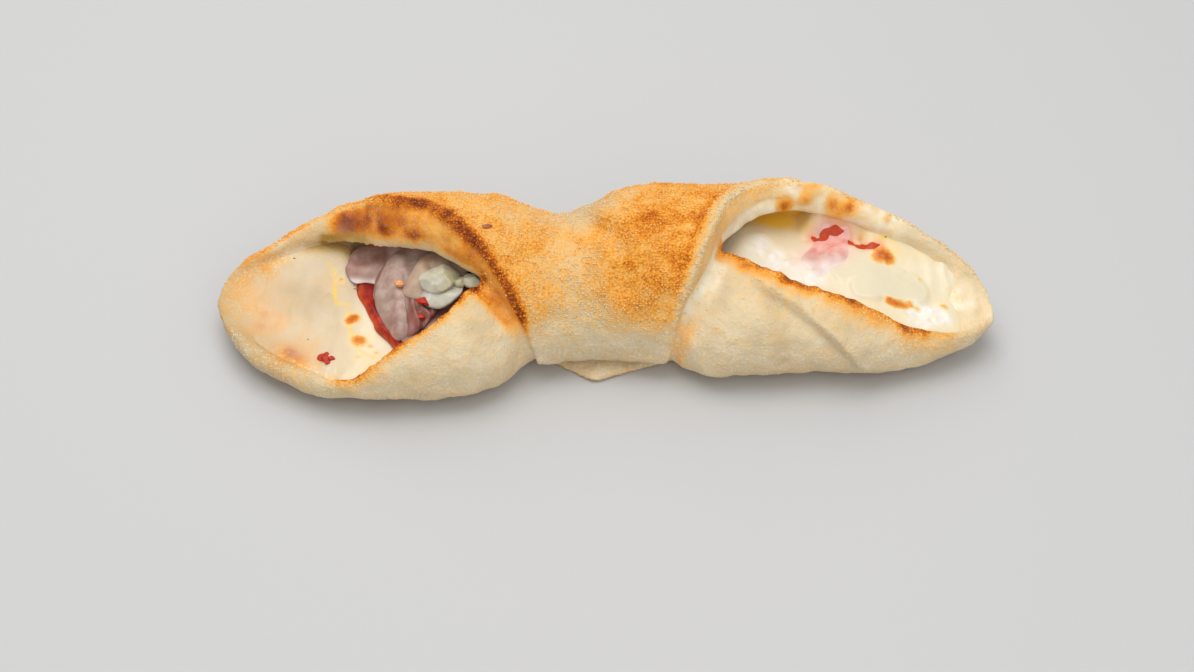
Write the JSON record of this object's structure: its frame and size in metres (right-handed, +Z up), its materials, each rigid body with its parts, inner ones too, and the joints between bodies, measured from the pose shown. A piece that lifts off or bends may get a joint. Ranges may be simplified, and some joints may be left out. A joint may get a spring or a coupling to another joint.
{
  "type": "calzone",
  "caption": "Open-ended wrapped calzone: a baked dough boat drawn together by a folded band over its middle, with ham, melted cheese and tomato sauce showing at both openings",
  "frame": {"origin": "middle of the calzone's box in plan, on the surface it lies on", "axes": "+X from the left tip to the right tip, +Y to the back, +Z up; the openings and the tucked end of the band face -Y"},
  "size_m": [0.278, 0.0904, 0.0493],
  "materials": {
    "baked_dough": "baked, floury, browned on the raised parts",
    "melted_cheese": "soft gloss",
    "tomato_sauce": "wet",
    "ham": "moist, slightly shiny"
  },
  "bodies": {
    "root": {"dough": "baked_dough", "cheese": "melted_cheese", "sauce": "tomato_sauce", "ham_layer": "ham", "ham_slice_top": "ham", "ham_slice_front": "ham", "ham_slice_back": "ham", "cheese_curd": "melted_cheese"}
  },
  "joints": []
}
